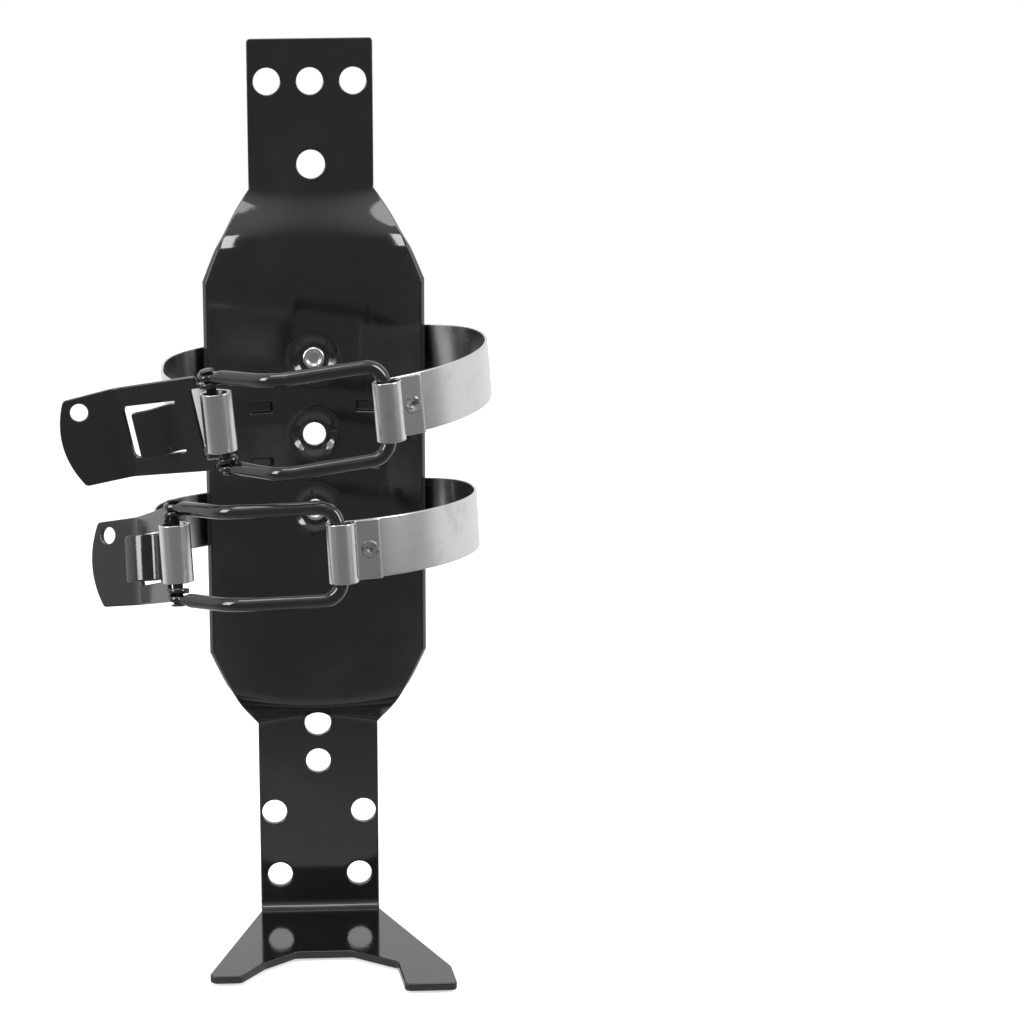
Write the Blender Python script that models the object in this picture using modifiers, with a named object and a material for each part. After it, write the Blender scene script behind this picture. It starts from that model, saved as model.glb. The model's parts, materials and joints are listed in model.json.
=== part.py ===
"""Wall bracket for a fire extinguisher: a pressed back plate with a forked foot, and two
stainless bands that close with a wire bail and a latch lever. X is to the right, Z is up and
the bracket stands out from the wall towards -Y. The back of the top tab lies in the XZ plane."""

import math

import bmesh
import bpy
from mathutils import Matrix, Vector
from mathutils.geometry import delaunay_2d_cdt

MM = 0.001
GAP = 0.3 * MM              # clearance between pieces that touch
OVERSHOOT = 4 * MM          # how far a cutter runs past the wall it cuts

# Back plate, from the top of the tab down to the foot
SHEET = 2.5 * MM            # thickness of the plate
TAB_TOP = 27 * MM
TAB_HALF = 20.2 * MM
TAB_END = -20.8 * MM        # where the upper shoulders start
BODY_HALF = 34.9 * MM
BODY_TOP = -49 * MM
BODY_END = -170.3 * MM
NECK_HALF = 20 * MM
NECK_TOP = -198.2 * MM
FOOT_TOP = -263 * MM        # upper face of the foot
BEND_INNER = 2.5 * MM
CORNER = 1.3 * MM           # rounding of the tab's corners
SHOULDER_BULGE = 1.1 * MM

# Cradle form
CRADLE_RADIUS = 61.25 * MM  # to the middle of the sheet
STANDOFF = 4.5 * MM         # how far the cradle stands out from the wall
UPPER_BLEND = 20 * MM       # height over which the cradle comes out of the tab
UPPER_START = -19 * MM
LOWER_BLEND = 6.5 * MM      # height over which it goes back to the neck, on the centre line
LOWER_END = -196.4 * MM
BLEND_FAN = 0.0085 / MM     # how much higher the lower blend starts at the sides
BLEND_DROP = 0.0070 / MM    # how much lower it ends at the sides

# Band stations and dimples on the centre line
RIVET_PITCH = 50 * MM
HOLE_HEIGHT = -100.2 * MM   # the bolt hole between the rivets
DIMPLE_DEPTH = 1.6 * MM
DIMPLE_FLOOR = 4.8 * MM
DIMPLE_RIM = 8.6 * MM
DIMPLE_RINGS = 6

# Holes
TAB_HOLE = 4.3 * MM         # radii
TAB_LOW_HOLE = 4.6 * MM
BODY_HOLE = 3.75 * MM
NECK_TOP_HOLE = 4.4 * MM
NECK_HOLE = 4.15 * MM
TAB_ROW = 13.5 * MM         # heights and places
TAB_ROW_STEP = 13.85 * MM
TAB_LOW = -12.9 * MM
NECK_FIRST = -198.5 * MM
NECK_SECOND = -211.7 * MM
NECK_WIDE_ROW = -229.3 * MM
NECK_WIDE_HALF = 15 * MM
NECK_LOW_ROW = -251.3 * MM
NECK_LOW_HALF = 13.4 * MM

# Stops pressed out of the back of the cradle beside the bands
STOP_WIDTH = 7.4 * MM
STOP_HEIGHT = 3.8 * MM
STOP_DEPTH = 1.7 * MM
STOP_WALL = 0.8 * MM
STOP_OFFSET = 17.5 * MM
UPPER_STOP_GAP = 4.9 * MM
LOWER_STOP_GAP = 5.5 * MM

# Foot, as reach from the wall
FOOT_ROOT = 5 * MM
FORK_REACH = 45.5 * MM
LEFT_REACH = 66 * MM
RIGHT_REACH = 76 * MM

# Bands
BAND = 0.8 * MM
BAND_HEIGHT = 17.4 * MM
LOOP_HALF_WIDTH = 50.1 * MM # half axes of the ellipse that the free arms follow
LOOP_HALF_DEPTH = 57 * MM
LOOP_WIDEST = 45 * MM       # reach from the wall of the widest place
ARM_PULL = 0.4              # share of the way over which an arm keeps its heading
LEFT_ROLL = 4.3 * MM        # to the middle of the strip
RIGHT_ROLL = 3.85 * MM
LAP_LENGTH = 6.7 * MM
LAP_FILLET = 1.5 * MM
WELD_RADIUS = 2.5 * MM
SEAM = 60                   # degrees that the left roll stays open
ARC_STEPS = 28
ARM_STEPS = 10
LOOP_STEPS = 18
ROLL_STEPS = 24

# Rivets
RIVET_SHANK = 2.4 * MM
RIVET_HEAD = 3.7 * MM
RIVET_TAIL = 4 * MM
RIVET_HEAD_HEIGHT = 1.1 * MM
RIVET_TAIL_HEIGHT = 0.9 * MM
RIVET_BORE = 2 * MM

# Bails
WIRE = 2.1 * MM             # radius
BAIL_HALF = 13.6 * MM       # from the middle of the roll to the middle of a bar
BAIL_CORNER = 5.5 * MM
BAIL_SHORT = 24.5 * MM      # from the pin to the kink
BAIL_LONG = 33.5 * MM       # from the kink to the right roll
KINK_REACH = 5 * MM         # how far the kink's bend reaches along the bars
EYE_RADIUS = 3.2 * MM
EYE_LOW = 12.5 * MM         # heights along the pin
EYE_HIGH = 14.9 * MM
EYE_PROUD = 0.05 * MM

# Pins
PIN = 1.5 * MM
PIN_HEAD = 2.3 * MM
PIN_HEAD_HEIGHT = 0.8 * MM

# Levers, along the sheet from the pin and in height
LEVER_SHEET = 1.5 * MM
LEVER_ROOT_HALF = 14.3 * MM
LEVER_TIP_HALF = 13.3 * MM
LEVER_MAIN = 33.5 * MM      # from the pin to the bend
LEVER_TIP = 18.8 * MM       # from the bend to the tip
LEVER_BEND = 33             # degrees
LEVER_BEND_RADIUS = 7 * MM
TIP_BULGE = 3.6 * MM
KNUCKLE_LOW = 10.6 * MM
KNUCKLE_HIGH = 12.2 * MM
NOTCH = 7 * MM
EAR_START = 4.2 * MM        # where the outer edges start, clear of the bail's eyes
WINDOW_START = 13 * MM
WINDOW_END = 31.5 * MM
WINDOW_HALF = 7.8 * MM
TONGUE_SLOT = 0.7 * MM      # beside the tongue
TONGUE_MOUTH = 4.6 * MM     # past its free end
TONGUE_CURL = 62            # degrees that the tongue leaves the sheet by
TONGUE_RADIUS = 4.5 * MM
TONGUE_LEVEL = 15 * MM      # length over which it turns level again
LEVER_HOLE = 2.65 * MM
LEVER_HOLE_PLACE = 44.8 * MM
LEVER_HOLE_HEIGHT = 8.9 * MM

# One dictionary for each band: height of its rivet, turn and droop about the rivet, how far its loop is
# pushed to the right, the places of its rolls round the loop, the turn of the lever back from straight
# left, and how far the pin leans to the left and back
UPPER = {
    "name": "upper", "height": HOLE_HEIGHT + RIVET_PITCH / 2, "turn": 5, "droop": 3.3, "shift": 2.5 * MM,
    "left": 37.6, "right": 16.7, "lever": 30, "lean": 7, "pitch": 0,
}
LOWER = {
    "name": "lower", "height": HOLE_HEIGHT - RIVET_PITCH / 2, "turn": 3, "droop": -2.6,
    "shift": -0.8 * MM, "left": 51.8, "right": 6, "lever": 68, "lean": -1, "pitch": 12,
}

COLOURS = {
    "paint": ((0.012, 0.012, 0.013, 1), 0.22, 0.0),
    "stainless": ((0.62, 0.61, 0.60, 1), 0.24, 1.0),
    "rivet": ((0.55, 0.55, 0.54, 1), 0.35, 1.0),
}


def clear_scene():
    for item in list(bpy.data.objects):
        bpy.data.objects.remove(item, do_unlink=True)


def make_collection(name):
    group = bpy.data.collections.new(name)
    bpy.context.scene.collection.children.link(group)
    return group


def make_material(name, look):
    colour, roughness, metallic = COLOURS[look]
    material = bpy.data.materials.new(name)
    material.use_nodes = True
    shader = material.node_tree.nodes["Principled BSDF"]
    shader.inputs["Base Color"].default_value = colour
    shader.inputs["Roughness"].default_value = roughness
    shader.inputs["Metallic"].default_value = metallic
    return material


def make_object(name, mesh, group, look=None):
    item = bpy.data.objects.new(name, mesh)
    group.objects.link(item)
    if look:
        mesh.materials.append(make_material(name + "_finish", look))
    else:
        item.hide_render = True
        item.display_type = "WIRE"
    return item


def mesh_from(name, points, faces):
    mesh = bpy.data.meshes.new(name)
    mesh.from_pydata([tuple(point) for point in points], [], faces)
    mesh.update()
    return mesh


def cylinder_mesh(name, radius, start, end, sides=32):
    """A cylinder along Z between two heights."""
    shape = bmesh.new()
    bmesh.ops.create_cone(
        shape, cap_ends=True, segments=sides, radius1=radius, radius2=radius, depth=end - start,
        matrix=Matrix.Translation((0, 0, (start + end) / 2)))
    mesh = bpy.data.meshes.new(name)
    shape.to_mesh(mesh)
    shape.free()
    return mesh


def box_mesh(name, low, high):
    shape = bmesh.new()
    size = [b - a for a, b in zip(low, high)]
    middle = [(a + b) / 2 for a, b in zip(low, high)]
    bmesh.ops.create_cube(shape, size=1, matrix=Matrix.Translation(middle) @ Matrix.Diagonal((*size, 1)))
    mesh = bpy.data.meshes.new(name)
    shape.to_mesh(mesh)
    shape.free()
    return mesh


def combine(item, tool, operation):
    change = item.modifiers.new(operation.lower() + "_" + tool.name, "BOOLEAN")
    change.operation = operation
    change.solver = "EXACT"
    change.object = tool


def thicken(item, thickness):
    wall = item.modifiers.new("thickness", "SOLIDIFY")
    wall.thickness = thickness
    wall.offset = 0
    wall.use_even_offset = True


def smooth_round(item, degrees=40):
    item.data.shade_smooth()
    item.data.set_sharp_from_angle(angle=math.radians(degrees))


def fillet(corners, steps=5):
    """A closed outline whose corners (x, y, radius) are rounded with arcs."""
    outline = []
    count = len(corners)
    for index, (x, y, radius) in enumerate(corners):
        corner = Vector((x, y))
        before = (Vector(corners[index - 1][:2]) - corner).normalized()
        after = (Vector(corners[(index + 1) % count][:2]) - corner).normalized()
        if radius <= 0:
            outline.append(corner)
            continue
        half = before.angle(after) / 2
        reach = radius / math.tan(half)
        centre = corner + (before + after).normalized() * radius / math.sin(half)
        first = corner + before * reach - centre
        last = corner + after * reach - centre
        sweep = first.angle_signed(last)
        for step in range(steps + 1):
            outline.append(centre + Matrix.Rotation(-sweep * step / steps, 2) @ first)
    return outline


def smooth_step(value):
    value = min(max(value, 0.0), 1.0)
    return 0.5 - 0.5 * math.cos(math.pi * value)


def plate_holes():
    """Round holes of the plate as (x, height, radius)."""
    holes = [(step * TAB_ROW_STEP, TAB_ROW, TAB_HOLE) for step in (-1, 0, 1)]
    holes.append((0, TAB_LOW, TAB_LOW_HOLE))
    holes.append((0, HOLE_HEIGHT, BODY_HOLE))
    holes += [(0, ring["height"], RIVET_SHANK + GAP) for ring in (UPPER, LOWER)]
    holes += [(0, NECK_FIRST, NECK_TOP_HOLE), (0, NECK_SECOND, NECK_HOLE)]
    for half, height in ((NECK_WIDE_HALF, NECK_WIDE_ROW), (NECK_LOW_HALF, NECK_LOW_ROW)):
        holes += [(-half, height, NECK_HOLE), (half, height, NECK_HOLE)]
    return holes


def bend_start():
    return FOOT_TOP + BEND_INNER


def bend_length():
    return (BEND_INNER + SHEET / 2) * math.pi / 2


def foot_height(reach):
    """Place in the flat blank of a foot point at this reach from the wall."""
    return bend_start() - bend_length() - (reach - SHEET - BEND_INNER)


def shoulder(low, high, steps=9):
    """A slightly bulged edge between two corners, without its last point."""
    start, end = Vector(low), Vector(high)
    along = end - start
    outward = Vector((along.y, -along.x)).normalized()
    if outward.x < 0:
        outward.negate()
    edge = []
    for step in range(steps):
        part = step / steps
        edge.append(start + along * part + outward * SHOULDER_BULGE * math.sin(math.pi * part))
    return edge


def half_outline():
    """Right edge of the blank from the foot up to the tab."""
    edge = [Vector((NECK_HALF, bend_start()))]
    edge += shoulder((NECK_HALF, NECK_TOP), (BODY_HALF, BODY_END))
    edge += [Vector((BODY_HALF, BODY_END))]
    edge += shoulder((BODY_HALF, BODY_TOP), (TAB_HALF, TAB_END))
    edge += [Vector((TAB_HALF, TAB_END))]
    centre = Vector((TAB_HALF - CORNER, TAB_TOP - CORNER))
    for step in range(6):
        angle = math.radians(step * 18)
        edge.append(centre + Vector((math.cos(angle), math.sin(angle))) * CORNER)
    return edge


def foot_outline():
    """Front edge of the fork from its left root to its right root, as (x, place in the blank)."""
    corners = [
        (-NECK_HALF, FOOT_ROOT, 0), (-37.6 * MM, LEFT_REACH, 2.5 * MM), (-26.8 * MM, LEFT_REACH, 2 * MM),
        (-19.3 * MM, 54.5 * MM, 3 * MM), (-9.3 * MM, FORK_REACH, 2 * MM), (9 * MM, FORK_REACH, 2 * MM),
        (22.8 * MM, 56.5 * MM, 2 * MM), (24 * MM, RIGHT_REACH, 2 * MM), (40.3 * MM, RIGHT_REACH, 2 * MM),
        (39.6 * MM, 61 * MM, 3 * MM), (NECK_HALF, FOOT_ROOT, 0),
    ]
    return [Vector((point.x, foot_height(point.y))) for point in fillet(corners, 3)]


def split_edges(outline, spacing):
    """The outline with long edges cut where the form under them bends."""
    result = []
    for index, start in enumerate(outline):
        end = outline[(index + 1) % len(outline)]
        step = spacing((start + end) / 2)
        pieces = max(1, math.ceil((end - start).length / step - 0.001))
        result += [start.lerp(end, part / pieces) for part in range(pieces)]
    return result


def row_spacing(point):
    """Distance between rows of the blank: close where the cradle blends into the neck and tab."""
    height = point.y
    if LOWER_END - 4 * MM < height < LOWER_END + 12 * MM:
        return 1.3 * MM
    if BODY_TOP < height < UPPER_START + 2 * MM:
        return 3 * MM
    if bend_start() - bend_length() < height < bend_start():
        return bend_length() / 4
    return 9 * MM


def inside(point, outline):
    """Whether a point lies in a closed outline, by counting crossings."""
    found = False
    for index, start in enumerate(outline):
        end = outline[index - 1]
        if (start.y > point.y) != (end.y > point.y):
            cross = start.x + (point.y - start.y) * (end.x - start.x) / (end.y - start.y)
            found ^= point.x < cross
    return found


def near_edge(point, outline, margin):
    for index, start in enumerate(outline):
        along = outline[index - 1] - start
        part = min(max((point - start).dot(along) / along.length_squared, 0), 1)
        if (start + along * part - point).length < margin:
            return True
    return False


def ring_points(x, height, radius, count=24):
    turns = [2 * math.pi * step / count for step in range(count)]
    return [Vector((x + radius * math.cos(turn), height + radius * math.sin(turn))) for turn in turns]


def blank_mesh(name, loops, inner, form):
    """A flat blank with holes as triangles, its points then moved by a forming function."""
    points, faces = [], []
    for loop in loops:
        faces.append(list(range(len(points), len(points) + len(loop))))
        points += loop
    result = delaunay_2d_cdt(points + inner, [], faces, 2, 1e-7)
    return mesh_from(name, [form(point) for point in result[0]], result[2])


def dimple_heights():
    return [UPPER["height"], HOLE_HEIGHT, LOWER["height"]]


def bending_rows():
    """Heights of the rows of inner points, over the cradle and through the foot's bend."""
    rows = [bend_start() - bend_length() * step / 4 for step in range(5)]
    height = UPPER_START + 3 * MM
    while height > NECK_TOP - 4 * MM:
        rows.append(height)
        height -= row_spacing(Vector((0, height)))
    return rows


def inner_points(outline, holes):
    """Points between the edges that let the flat blank bend, and rings round each dimple."""
    points = []
    column = 3.6 * MM
    columns = int(BODY_HALF / column) + 1
    rim = DIMPLE_RIM + 1.6 * MM
    for row in bending_rows():
        every = 4 if row <= bend_start() else 1
        for step in range(-columns, columns + 1, every):
            point = Vector((step * column, row))
            clear = all((point - Vector(hole[:2])).length > hole[2] + 1.2 * MM for hole in holes)
            clear &= all(math.hypot(point.x, row - centre) > rim for centre in dimple_heights())
            if clear and inside(point, outline) and not near_edge(point, outline, 0.8 * MM):
                points.append(point)
    for centre in dimple_heights():
        for ring in range(DIMPLE_RINGS + 1):
            radius = DIMPLE_FLOOR + (DIMPLE_RIM - DIMPLE_FLOOR) * ring / DIMPLE_RINGS
            points += ring_points(0, centre, radius)
    return points


def blend(x, height):
    """How much of the cradle's form there is at a place: none in the tab and the neck."""
    upper = smooth_step((UPPER_START - height) / UPPER_BLEND)
    lower_end = LOWER_END - BLEND_DROP * x ** 2
    lower_top = LOWER_END + LOWER_BLEND + BLEND_FAN * x ** 2
    return upper * smooth_step((height - lower_end) / (lower_top - lower_end))


def dimple(x, height):
    depth = 0
    for centre in dimple_heights():
        radius = math.hypot(x, height - centre)
        depth += DIMPLE_DEPTH * smooth_step((DIMPLE_RIM - radius) / (DIMPLE_RIM - DIMPLE_FLOOR))
    return depth


def cradle_reach(x):
    """Distance of the cradle's middle surface from the wall."""
    radius = CRADLE_RADIUS
    return STANDOFF + SHEET / 2 + radius - math.sqrt(radius ** 2 - x ** 2)


def formed(point):
    """Where a point of the flat blank lies in the pressed and folded plate."""
    x, height = point
    middle = SHEET / 2
    if height >= bend_start():
        reach = middle + blend(x, height) * (cradle_reach(x) - middle) - dimple(x, height)
        return Vector((x, -reach, height))
    radius = BEND_INNER + SHEET / 2
    past = bend_start() - height
    if past <= bend_length():
        angle = past / radius
        reach = middle + radius * (1 - math.cos(angle))
        return Vector((x, -reach, bend_start() - radius * math.sin(angle)))
    reach = middle + radius + past - bend_length()
    return Vector((x, -reach, bend_start() - radius))


def stop_places():
    """Centres (x, height) of the four pressed stops."""
    half_band = BAND_HEIGHT / 2
    upper = UPPER["height"] - half_band - UPPER_STOP_GAP - STOP_HEIGHT / 2
    lower = LOWER["height"] + half_band + LOWER_STOP_GAP + STOP_HEIGHT / 2
    return [(side * STOP_OFFSET, height) for side in (-1, 1) for height in (upper, lower)]


def stop_tool(name, place_of, grow, inner, outer, cutters):
    """A block square to the cradle at a stop, between two depths behind the sheet's middle."""
    x, height = place_of
    half = (STOP_WIDTH / 2 + grow, STOP_HEIGHT / 2 + grow)
    mesh = box_mesh(name, (-half[0], inner, -half[1]), (half[0], outer, half[1]))
    tool = make_object(name, mesh, cutters)
    tool.location = (x, -cradle_reach(x), height)
    tool.rotation_euler = (0, 0, math.asin(x / CRADLE_RADIUS))
    return tool


def build_plate(parts, cutters):
    holes = plate_holes()
    right = half_outline()
    left = [Vector((-point.x, point.y)) for point in reversed(right)]
    outline = split_edges(right + left + foot_outline(), row_spacing)
    loops = [outline] + [ring_points(*hole) for hole in holes]
    mesh = blank_mesh("back_plate", loops, inner_points(outline, holes), formed)
    plate = make_object("back_plate", mesh, parts, "paint")
    thicken(plate, SHEET)
    half = SHEET / 2
    for number, spot in enumerate(stop_places()):
        lug = stop_tool(f"stop_lug_{number}", spot, STOP_WALL, -half * 0.4, half + STOP_DEPTH, cutters)
        floor = STOP_DEPTH + half - STOP_WALL
        pocket = stop_tool(f"stop_pocket_{number}", spot, 0, -half - OVERSHOOT, floor, cutters)
        combine(plate, lug, "UNION")
        combine(plate, pocket, "DIFFERENCE")
    plate.data.shade_smooth()
    plate.data.set_sharp_from_angle(angle=math.radians(30))
    return plate


def droop_room(ring, radius):
    """How far a drooping band comes nearer to a flat ring of this radius round the rivet."""
    return radius * math.sin(math.radians(abs(ring["droop"])))


def band_back_reach(ring):
    """Reach of the band's middle behind the plate, at the rivet."""
    return STANDOFF - DIMPLE_DEPTH - GAP - droop_room(ring, DIMPLE_FLOOR) - BAND / 2


def behind_plate(ring):
    """Plan points (x, reach) of the stretch behind the cradle, from left to right."""
    centre = STANDOFF + SHEET / 2 + CRADLE_RADIUS
    radius = centre - band_back_reach(ring)
    last = math.asin((BODY_HALF + 1.3 * MM) / radius)
    points = []
    for step in range(ARC_STEPS + 1):
        angle = -last + 2 * last * step / ARC_STEPS
        points.append(Vector((radius * math.sin(angle), centre - radius * math.cos(angle))))
    return points


def loop_point(ring, sign, degrees):
    """A point of the free arm's ellipse, at an angle from its front, on the left (-1) or right (1)."""
    angle = math.radians(degrees)
    x = ring["shift"] + sign * LOOP_HALF_WIDTH * math.sin(angle)
    return Vector((x, LOOP_WIDEST + LOOP_HALF_DEPTH * math.cos(angle)))


def roll_frame(ring, side):
    """Centre of a roll in plan, its radius, the way the strip runs into it and the way out of the loop."""
    sign = -1 if side == "left" else 1
    radius = LEFT_ROLL if side == "left" else RIGHT_ROLL
    angle = math.radians(ring[side])
    along = Vector((-sign * LOOP_HALF_WIDTH * math.cos(angle), LOOP_HALF_DEPTH * math.sin(angle)))
    along.normalize()
    outward = Vector((sign * along.y, -sign * along.x))
    return loop_point(ring, sign, ring[side]) + outward * radius, radius, along, outward


def arm(ring, side, start, heading):
    """The free stretch from the plate's edge to a roll: a cubic to the widest place, then the ellipse."""
    sign = -1 if side == "left" else 1
    widest = loop_point(ring, sign, 90)
    pull = (widest - start).length * ARM_PULL
    guides = (start, start + heading * pull, widest - Vector((0, pull)), widest)
    points = []
    for step in range(1, ARM_STEPS + 1):
        t = step / ARM_STEPS
        weights = ((1 - t) ** 3, 3 * (1 - t) ** 2 * t, 3 * (1 - t) * t ** 2, t ** 3)
        points.append(sum((guide * weight for guide, weight in zip(guides, weights)), Vector((0, 0))))
    for step in range(1, LOOP_STEPS + 1):
        points.append(loop_point(ring, sign, 90 + (ring[side] - 90) * step / LOOP_STEPS))
    return points


def turn_points(centre, first, degrees, steps):
    """Points of an arc round a centre after its first arm, turning left for positive degrees."""
    step_angle = math.radians(degrees) / steps
    return [centre + Matrix.Rotation(step_angle * step, 2) @ first for step in range(1, steps + 1)]


def roll_points(ring, side):
    """The strip round a roll. The left one ends at its seam, the right one in a lap on the strip."""
    centre, radius, along, outward = roll_frame(ring, side)
    first = -outward * radius
    if side == "left":
        return turn_points(centre, first, 360 - SEAM, ROLL_STEPS)
    rise = BAND + GAP
    drop = radius - rise - LAP_FILLET
    span = radius + LAP_FILLET
    shift = math.sqrt(span ** 2 - drop ** 2)
    past = math.degrees(math.asin(drop / span))
    points = turn_points(centre, first, -(270 + past), ROLL_STEPS)
    pivot = centre - along * shift - outward * drop
    points += turn_points(pivot, points[-1] - pivot, 90 + past, 7)
    points.append(points[-1] - along * LAP_LENGTH)
    return points


def band_path(ring):
    middle = behind_plate(ring)
    right_heading = (middle[-1] - middle[-2]).normalized()
    left_heading = (middle[0] - middle[1]).normalized()
    right = arm(ring, "right", middle[-1], right_heading) + roll_points(ring, "right")
    left = arm(ring, "left", middle[0], left_heading) + roll_points(ring, "left")
    return list(reversed(left)) + middle + right


def ring_matrix(ring):
    """Places plan points at the height of a band's rivet, turned and drooping about the rivet."""
    rivet = Matrix.Translation((0, -band_back_reach(ring), 0))
    turn = Matrix.Rotation(math.radians(-ring["turn"]), 4, "Y")
    droop = Matrix.Rotation(math.radians(ring["droop"]), 4, "X")
    return Matrix.Translation((0, 0, ring["height"])) @ turn @ rivet @ droop @ rivet.inverted()


def place(item, matrix):
    item.location = matrix.to_translation()
    item.rotation_euler = matrix.to_euler()


def strip_mesh(name, path, half):
    """An open strip along a plan path (x, reach), as high as twice half."""
    count = len(path)
    points = [(point.x, -point.y, height) for height in (-half, half) for point in path]
    faces = [(step, step + 1, count + step + 1, count + step) for step in range(count - 1)]
    return mesh_from(name, points, faces)


def build_band(ring, parts, cutters):
    path = band_path(ring)
    name = ring["name"] + "_band"
    band = make_object(name, strip_mesh(name, path, BAND_HEIGHT / 2), parts, "stainless")
    place(band, ring_matrix(ring))
    thicken(band, BAND)
    lying = Matrix.Rotation(math.pi / 2, 4, "X")
    hole_mesh = cylinder_mesh(name, RIVET_SHANK + GAP, -OVERSHOOT, OVERSHOOT)
    hole = make_object(name + "_rivet_hole", hole_mesh, cutters)
    place(hole, ring_matrix(ring) @ Matrix.Translation((0, -band_back_reach(ring), 0)) @ lying)
    combine(band, hole, "DIFFERENCE")
    along, outward = roll_frame(ring, "right")[2:]
    spot = path[-1] + along * LAP_LENGTH / 2
    weld_mesh = cylinder_mesh(name, WELD_RADIUS, -BAND - GAP, BAND * 0.2, 16)
    weld = make_object(name + "_weld", weld_mesh, cutters)
    turn = Matrix.Rotation(math.atan2(outward.x, outward.y), 4, "Z")
    place(weld, ring_matrix(ring) @ Matrix.Translation((spot.x, -spot.y, 0)) @ turn @ lying)
    combine(band, weld, "UNION")
    smooth_round(band)
    return band


def turned(name, profile, steps, parts, look):
    """A round piece from a profile of (radius, height), turned about Z."""
    mesh = mesh_from(name, [(radius, 0, height) for radius, height in profile], [])
    mesh.edges.add(len(profile) - 1)
    for index, edge in enumerate(mesh.edges):
        edge.vertices = (index, index + 1)
    item = make_object(name, mesh, parts, look)
    screw = item.modifiers.new("turned", "SCREW")
    screw.steps = steps
    screw.render_steps = steps
    screw.use_merge_vertices = True
    screw.merge_threshold = 0.00001
    return item


def build_rivet(ring, parts):
    """A tubular rivet: a rolled head in the dimple, the shank, and a flat tail behind the band."""
    floor = STANDOFF + SHEET - DIMPLE_DEPTH + GAP
    back = band_back_reach(ring) - BAND / 2 - GAP - droop_room(ring, RIVET_TAIL)
    lip = RIVET_HEAD_HEIGHT
    profile = [
        (0, floor), (RIVET_BORE * 0.8, floor), (RIVET_BORE, floor + 0.2 * lip),
        (RIVET_BORE, floor + 0.7 * lip),
        (RIVET_BORE + 0.3 * MM, floor + lip), (RIVET_HEAD * 0.8, floor + lip),
        (RIVET_HEAD, floor + 0.45 * lip), (RIVET_HEAD, floor), (RIVET_SHANK, floor), (RIVET_SHANK, back),
        (RIVET_TAIL, back), (RIVET_TAIL, back - 0.4 * RIVET_TAIL_HEIGHT),
        (RIVET_TAIL * 0.8, back - RIVET_TAIL_HEIGHT), (0, back - RIVET_TAIL_HEIGHT),
    ]
    rivet = turned(ring["name"] + "_rivet", profile, 24, parts, "rivet")
    place(rivet, Matrix.Translation((0, 0, ring["height"])) @ Matrix.Rotation(math.pi / 2, 4, "X"))
    return rivet


def latch_matrix(ring):
    """The pin's own frame: origin in the middle of the left roll, Z along the pin."""
    centre = roll_frame(ring, "left")[0]
    lean = Matrix.Rotation(math.radians(-ring["lean"]), 4, "Y")
    pitch = Matrix.Rotation(math.radians(-ring["pitch"]), 4, "X")
    return ring_matrix(ring) @ Matrix.Translation((centre.x, -centre.y, 0)) @ lean @ pitch


def build_pin(ring, parts):
    """A pin with both ends peened over the bail's eyes."""
    under = EYE_HIGH + GAP
    head = [(PIN, under), (PIN_HEAD, under), (PIN_HEAD, under + 0.4 * PIN_HEAD_HEIGHT),
            (PIN_HEAD * 0.7, under + PIN_HEAD_HEIGHT), (0, under + PIN_HEAD_HEIGHT)]
    profile = list(reversed(head)) + [(radius, -height) for radius, height in head]
    pin = turned(ring["name"] + "_pivot_pin", profile, 20, parts, "paint")
    smooth_round(pin)
    place(pin, latch_matrix(ring))
    return pin


def kink_place(ring):
    """Plan place of the bail's kink, outside the line between the two rolls."""
    left = roll_frame(ring, "left")[0]
    chord = roll_frame(ring, "right")[0] - left
    span = chord.length
    along = (BAIL_SHORT ** 2 - BAIL_LONG ** 2 + span ** 2) / (2 * span)
    out = math.sqrt(BAIL_SHORT ** 2 - along ** 2)
    chord.normalize()
    return left + chord * along + Vector((-chord.y, chord.x)) * out


def rounded_bend(before, corner, after, steps=6):
    """Points of a smooth bend in a wire at a corner."""
    start = corner + (before - corner).normalized() * KINK_REACH
    end = corner + (after - corner).normalized() * KINK_REACH
    points = []
    for step in range(steps + 1):
        t = step / steps
        points.append(start * (1 - t) ** 2 + corner * 2 * t * (1 - t) + end * t ** 2)
    return points


def bail_points(ring):
    """Middle line of the wire in the band's frame, drawn against the right roll's inner wall."""
    to_ring = ring_matrix(ring).inverted() @ latch_matrix(ring)
    plan = kink_place(ring)
    right_plan = roll_frame(ring, "right")[0]
    kink = Vector((plan.x, -plan.y, 0))
    right = Vector((right_plan.x, -right_plan.y, 0))
    inward = (kink - right).normalized()
    right += inward * (RIGHT_ROLL - BAND / 2 - WIRE - 2 * GAP)
    halves = []
    for side in (1, -1):
        lift = Vector((0, 0, side))
        eye = to_ring @ (lift * (EYE_LOW + EYE_HIGH) / 2)
        corner = []
        for step in range(7):
            angle = math.radians(90 * step / 6)
            away = inward * BAIL_CORNER * (1 - math.sin(angle))
            rise = BAIL_HALF - BAIL_CORNER * (1 - math.cos(angle))
            corner.append(right + away + lift * rise)
        halves.append([eye] + rounded_bend(eye, kink + lift * BAIL_HALF, corner[0]) + corner)
    return halves[0] + list(reversed(halves[1]))


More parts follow.
